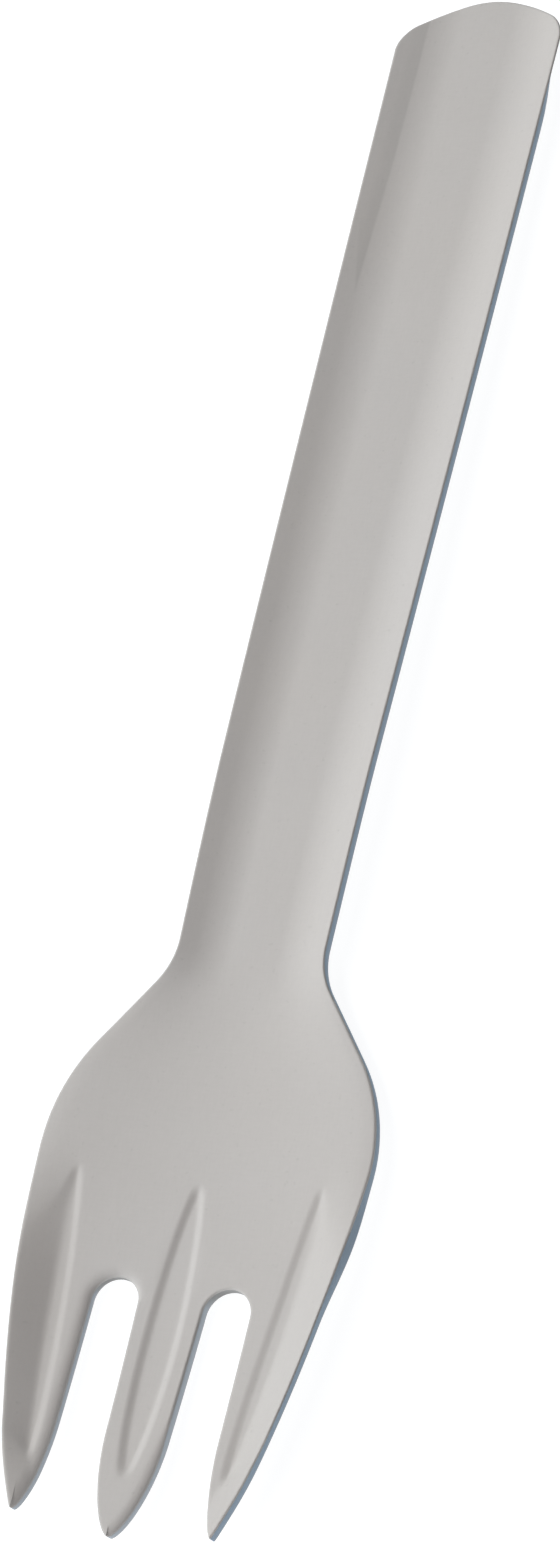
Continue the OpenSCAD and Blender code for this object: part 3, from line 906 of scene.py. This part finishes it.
def tinted(t, base, factor):
    """The base colour made lighter or darker by a factor near 1."""
    grey = t.add("ShaderNodeCombineColor", i0=factor, i1=factor, i2=factor)
    node = t.add("ShaderNodeMix", {"data_type": "RGBA", "blend_type": "MULTIPLY"},
                 i0=1.0, i6=base, i7=grey.outputs[0])
    return node.outputs[2]


def blended(t, a, b, factor):
    node = t.add("ShaderNodeMix", {"data_type": "RGBA"}, i0=factor, i6=a, i7=b)
    return node.outputs[2]


def bumps(t, height, strength, distance):
    return t.add("ShaderNodeBump", Strength=strength, Distance=distance, Height=height).outputs[0]


def finish_with(t, **sockets):
    shader = t.add("ShaderNodeBsdfPrincipled", **sockets)
    t.add("ShaderNodeOutputMaterial", Surface=shader.outputs[0])


# The painted shadow strip on the upper handle: its line, where the line bends, its width and its slanted
# low end
STRIP_X, STRIP_BEND_Y, STRIP_BEND = -6.12 * MM, 60 * MM, 0.025
STRIP_CRISP, STRIP_W = 0.3 * MM, 1.8 * MM
STRIP_END_Y, STRIP_END_L, STRIP_SLANT = 42.5 * MM, 1.5 * MM, 5.0


def painted_shadow_strip(t):
    """Painted shadow on the upper handle: 1 at its crisp line, fading to the left rim."""
    here = t.add("ShaderNodeSeparateXYZ", Vector=t.add("ShaderNodeTexCoord").outputs["Object"])
    x, y = t.value(here, "X"), t.value(here, "Y")
    left = STRIP_X - (STRIP_BEND_Y - y).most(0.0) * STRIP_BEND - x
    above = ((y - STRIP_END_Y - left * STRIP_SLANT) / STRIP_END_L).smooth()
    return (left / STRIP_CRISP).smooth() * nearness(left, STRIP_W) * above


# How far the clouds and the fibres change the roughness, and the level over which specks show
CLOUD_ROUGH, FIBRE_ROUGH, SPECK_LEVEL = 0.10, 0.12, 0.68
FACE_BUMP, FACE_BUMP_DEPTH, FACE_SHINE = 0.35, 0.02 * MM, 0.18
# A darker line along the crisp rims of the face, which a rolled rim soon hides: partly the punch's
# burnish, partly painted shade where the rim turns away from the lamps
FACE_BURNISH_AND_SHADE, FACE_BURNISH_AND_SHADE_W, ROLL_HIDES = 0.28, 0.14 * MM, 3.0
# The face's colour wanders between these two tints
COOL_TINT, WARM_TINT, TINT_RANGE = (0.985, 1.0, 1.02), (1.015, 1.0, 0.98), 0.5


def calendered_paper(finish):
    """Calendered and coated paper: clouded, finely fibrous, satin, darker along the cut rim with burnish
    and painted rim shade, and with a painted shadow strip on the upper handle.
    """
    material, t, place = paper_base("calendered_paper", finish.seed)
    patterns = (CLOUDS, FIBRES, CROSS_FIBRES, DENTS)
    (clouds, fibres, *_), tone, height = grained(t, place, patterns, finish.grain)
    specks = (noise(t, place, SPECKS) - SPECK_LEVEL).most(0.0)
    tone = tone - specks * (SPECKS.tone * finish.grain)
    crisp = 1.0 - (kept_field(t, "soft_share") * ROLL_HIDES).clamped()
    # Partly burnish, partly painted shade: the face is darker along its crisp rims
    burnish_and_shade = nearness(kept_field(t, "rim_gap"), FACE_BURNISH_AND_SHADE_W) * crisp
    tone = tone * (1.0 - burnish_and_shade * FACE_BURNISH_AND_SHADE)
    # Painted shadow: the face is darker in a strip on the upper handle
    tone = tone * (1.0 - painted_shadow_strip(t) * finish.strip)
    warm = (noise(t, place, WARMTH) - 0.5) * TINT_RANGE + 0.5
    cool_face, warm_face = (opaque(c * f for c, f in zip(finish.face, tint))
                            for tint in (COOL_TINT, WARM_TINT))
    base = tinted(t, blended(t, cool_face, warm_face, warm), tone)
    rough = finish.roughness + (clouds - 0.5) * CLOUD_ROUGH + (fibres - 0.5) * FIBRE_ROUGH
    finish_with(t, Base_Color=base, Roughness=rough, Specular_IOR_Level=FACE_SHINE,
                Normal=bumps(t, height, FACE_BUMP * finish.grain, FACE_BUMP_DEPTH))
    return material


# The same for the cut edge, which is darker just under the face: partly burnish, partly painted rim shade
CUT_BUMP, CUT_BUMP_DEPTH, CUT_SHINE = 0.6, 0.03 * MM, 0.2
CUT_ROUGH, OPEN_ROUGH, CUT_SEED = 0.86, 0.12, 3
CUT_BURNISH_AND_SHADE, CUT_BURNISH_AND_SHADE_W = 0.35, 0.10 * MM


def cut_board(name, colour, finish):
    """The cut edge of a sheet: open fibres in thin layers, matte, with painted light in its colours: a
    blue-grey tint of painted cool light, paler painted bounce light inside the slots and painted shade at
    the slots' tops.
    """
    material, t, place = paper_base(name, finish.seed + CUT_SEED)
    (_, fibres), tone, height = grained(t, place, (LAYERS, OPEN_FIBRES), finish.grain)
    # Partly burnish, partly painted shade: the cut edge is darker just under the face
    tone = tone * (1.0 - nearness(kept_field(t, "drop"), CUT_BURNISH_AND_SHADE_W) * CUT_BURNISH_AND_SHADE)
    # Painted bounce light: the cut edges inside the slots are paler
    ply = blended(t, opaque(colour), opaque(finish.slot_edge_bounce_light), kept_field(t, "in_slot"))
    # Painted shade: the cut edges at the slots' tops are dark
    ply = blended(t, ply, opaque(finish.arch_shade_edge), kept_field(t, "in_arch"))
    finish_with(t, Base_Color=tinted(t, ply, tone), Roughness=CUT_ROUGH + (fibres - 0.5) * OPEN_ROUGH,
                Specular_IOR_Level=CUT_SHINE,
                Normal=bumps(t, height, CUT_BUMP * finish.grain, CUT_BUMP_DEPTH))
    return material


FLOOR_ROUGH, FLOOR_SHINE = 0.9, 0.1
GLOW_COLOUR = (0.98, 0.99, 1.0, 1.0)


def floor_paint(colour, glow):
    """A matt floor, barely clouded, that glows as a light table does."""
    material, t, place = paper_base("pale_floor", FLOOR_SEED)
    _, tone, _ = grained(t, place, (FLOOR_CLOUDS,), 1.0)
    finish_with(t, Base_Color=tinted(t, opaque(colour), tone), Roughness=FLOOR_ROUGH,
                Specular_IOR_Level=FLOOR_SHINE, Emission_Color=GLOW_COLOUR, Emission_Strength=glow)
    return material


# Operators


# The nodes of the sheets, from the top of the stack down, each with a material label that nothing reads
SHEETS = {"front_liner": "face_paper", "front_ply": "board", "core_ply": "core_board",
          "back_ply": "board", "back_liner": "face_paper"}


def build_sheets(settings, kind):
    """Makes the sheets of one kind, the liners or the plies, from the same punched blank."""
    board, finish, relief = settings.board, settings.finish, settings.relief
    outline = Outline(settings.outline, relief)
    group = bpy.data.node_groups.get(PRESS_NAME) or Press(outline, relief, board).group
    face = bpy.data.materials.get("calendered_paper") or calendered_paper(finish)
    blank = Blank(outline, fine=kind == "liner")
    thicknesses = [board.liner_t if node.endswith("liner") else board.ply_t for node in SHEETS]
    drops = np.cumsum([0.0, *thicknesses])
    for (node, slot), top, bottom in zip(SHEETS.items(), drops, drops[1:]):
        if not node.endswith(kind):
            continue
        name, tone = ("core_edge", finish.core) if node == "core_ply" else ("board_edge", finish.edge)
        edge = bpy.data.materials.get(name) or cut_board(name, tone, finish)
        flat = blank.sheet(node + "_sheet", top, bottom, drops[-1])
        piece = press(node + "_sheet", flat, group, relief, face, edge)
        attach(piece, "root")
        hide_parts(node)


class FORK_OT_press_liners(bpy.types.Operator):
    """Punch and press the smooth liner sheets of both faces."""

    bl_idname = "fork.press_liners"
    bl_label = "Press the liners"

    def execute(self, context):
        build_sheets(context.scene.paper_fork, "liner")
        return {"FINISHED"}


class FORK_OT_press_plies(bpy.types.Operator):
    """Punch and press the three board plies between the liners."""

    bl_idname = "fork.press_plies"
    bl_label = "Press the plies"

    def execute(self, context):
        build_sheets(context.scene.paper_fork, "ply")
        return {"FINISHED"}


# Each lamp: degrees around and up, width and height, colour. All face the middle from LAMP_FAR
LAMPS = {
    "key": (152, 34, (0.8, 0.8), (0.972, 0.978, 0.976)),
    "high": (180, 60, (0.7, 0.7), (1.0, 0.955, 0.935)),
    "low": (230, 14, (0.5, 0.3), (0.90, 0.96, 1.0)),
    "front": (292, 44, (0.8, 0.8), (1.0, 0.94, 0.93)),
}
LAMP_FAR = 1.2
# The faint light of the room, and the backdrop that only the camera sees
AIR, BACKDROP = (0.012, 0.014, 0.016, 1.0), (0.93, 0.94, 0.95, 1.0)
FLOOR_REACH, FLOOR_CELLS, FLOOR_Z = 3.0, 6, -0.02 * MM
SENSOR_MM = 36.0
NEAREST, FARTHEST = 0.005, 20.0


class FORK_OT_set_stage(bpy.types.Operator):
    """Set up the floor, the soft lights and the camera at the photograph's view."""

    bl_idname = "fork.set_stage"
    bl_label = "Set the stage"

    def execute(self, context):
        scene, studio = context.scene, context.scene.paper_fork.studio
        self.lay_floor(scene, studio)
        self.hang_lights(scene, studio)
        self.fill_air(scene)
        self.set_camera(scene, studio)
        return {"FINISHED"}

    def lay_floor(self, scene, studio):
        mesh = bpy.data.meshes.new("floor")
        n = FLOOR_CELLS + 1
        lines = np.linspace(-FLOOR_REACH, FLOOR_REACH, n)
        points = [(x, y, FLOOR_Z) for y in lines for x in lines]
        faces = [(k, k + 1, k + n + 1, k + n) for k in range(n * FLOOR_CELLS) if k % n < FLOOR_CELLS]
        mesh.from_pydata(points, [], faces)
        mesh.materials.append(floor_paint(studio.floor, studio.glow))
        floor = bpy.data.objects.new("floor", mesh)
        scene.collection.objects.link(floor)

    def hang_lights(self, scene, studio):
        for name, (around, rise, size, tone) in LAMPS.items():
            around, rise = math.radians(around), math.radians(rise)
            away = Vector((math.cos(around) * math.cos(rise), math.sin(around) * math.cos(rise),
                           math.sin(rise)))
            light = bpy.data.lights.new(name, "AREA")
            light.shape = "RECTANGLE"
            light.size, light.size_y = size
            light.energy = getattr(studio, name)
            light.color = tone
            lamp = bpy.data.objects.new(name, light)
            lamp.location = away * LAMP_FAR
            lamp.rotation_mode = "QUATERNION"
            lamp.rotation_quaternion = (-away).to_track_quat("-Z", "Y")
            scene.collection.objects.link(lamp)

    def fill_air(self, scene):
        world = bpy.data.worlds.new("studio_air")
        scene.world = world
        world.use_nodes = True
        t = Tree(world.node_tree)
        air = t.add("ShaderNodeBackground", Color=AIR, Strength=1.0)
        wall = t.add("ShaderNodeBackground", Color=BACKDROP, Strength=1.0)
        seen = t.add("ShaderNodeLightPath").outputs["Is Camera Ray"]
        both = t.add("ShaderNodeMixShader", i0=seen, i1=air.outputs[0], i2=wall.outputs[0])
        t.add("ShaderNodeOutputWorld", Surface=both.outputs[0])
        scene.view_settings.view_transform = "Standard"

    def set_camera(self, scene, studio):
        data = bpy.data.cameras.new("camera")
        data.sensor_width = SENSOR_MM
        data.lens = data.sensor_width * studio.focal_share
        data.clip_start, data.clip_end = NEAREST, FARTHEST
        camera = bpy.data.objects.new("camera", data)
        back = -Vector(studio.aim).normalized()
        right = Vector(studio.up).cross(back).normalized()
        up = back.cross(right)
        turn = Matrix((right, up, back)).transposed().to_4x4()
        camera.matrix_world = Matrix.Translation(Vector(studio.eye)) @ turn
        scene.collection.objects.link(camera)
        scene.camera = camera


class FORK_PT_panel(bpy.types.Panel):
    """The fork's operators and sizes."""

    bl_label = "Paper fork"
    bl_idname = "FORK_PT_panel"
    bl_space_type = "VIEW_3D"
    bl_region_type = "UI"
    bl_category = "Fork"

    def draw(self, context):
        settings = context.scene.paper_fork
        for operator in OPERATORS:
            self.layout.operator(operator.bl_idname)
        for group in (settings.outline, settings.relief, settings.board, settings.finish,
                      settings.studio):
            box = self.layout.box()
            for prop in group.bl_rna.properties:
                if prop.identifier not in ("rna_type", "name"):
                    box.prop(group, prop.identifier)


OPERATORS = (FORK_OT_press_liners, FORK_OT_press_plies, FORK_OT_set_stage)
CLASSES = (OutlineSizes, ReliefSizes, BoardSizes, Finish, Studio, ForkSettings, *OPERATORS,
           FORK_PT_panel)


def register():
    for cls in CLASSES:
        bpy.utils.register_class(cls)
    bpy.types.Scene.paper_fork = PointerProperty(type=ForkSettings)


def unregister():
    del bpy.types.Scene.paper_fork
    for cls in reversed(CLASSES):
        bpy.utils.unregister_class(cls)


def main():
    register()
    bpy.ops.fork.press_liners()
    bpy.ops.fork.press_plies()
    bpy.ops.fork.set_stage()


if __name__ == "__main__":
    main()
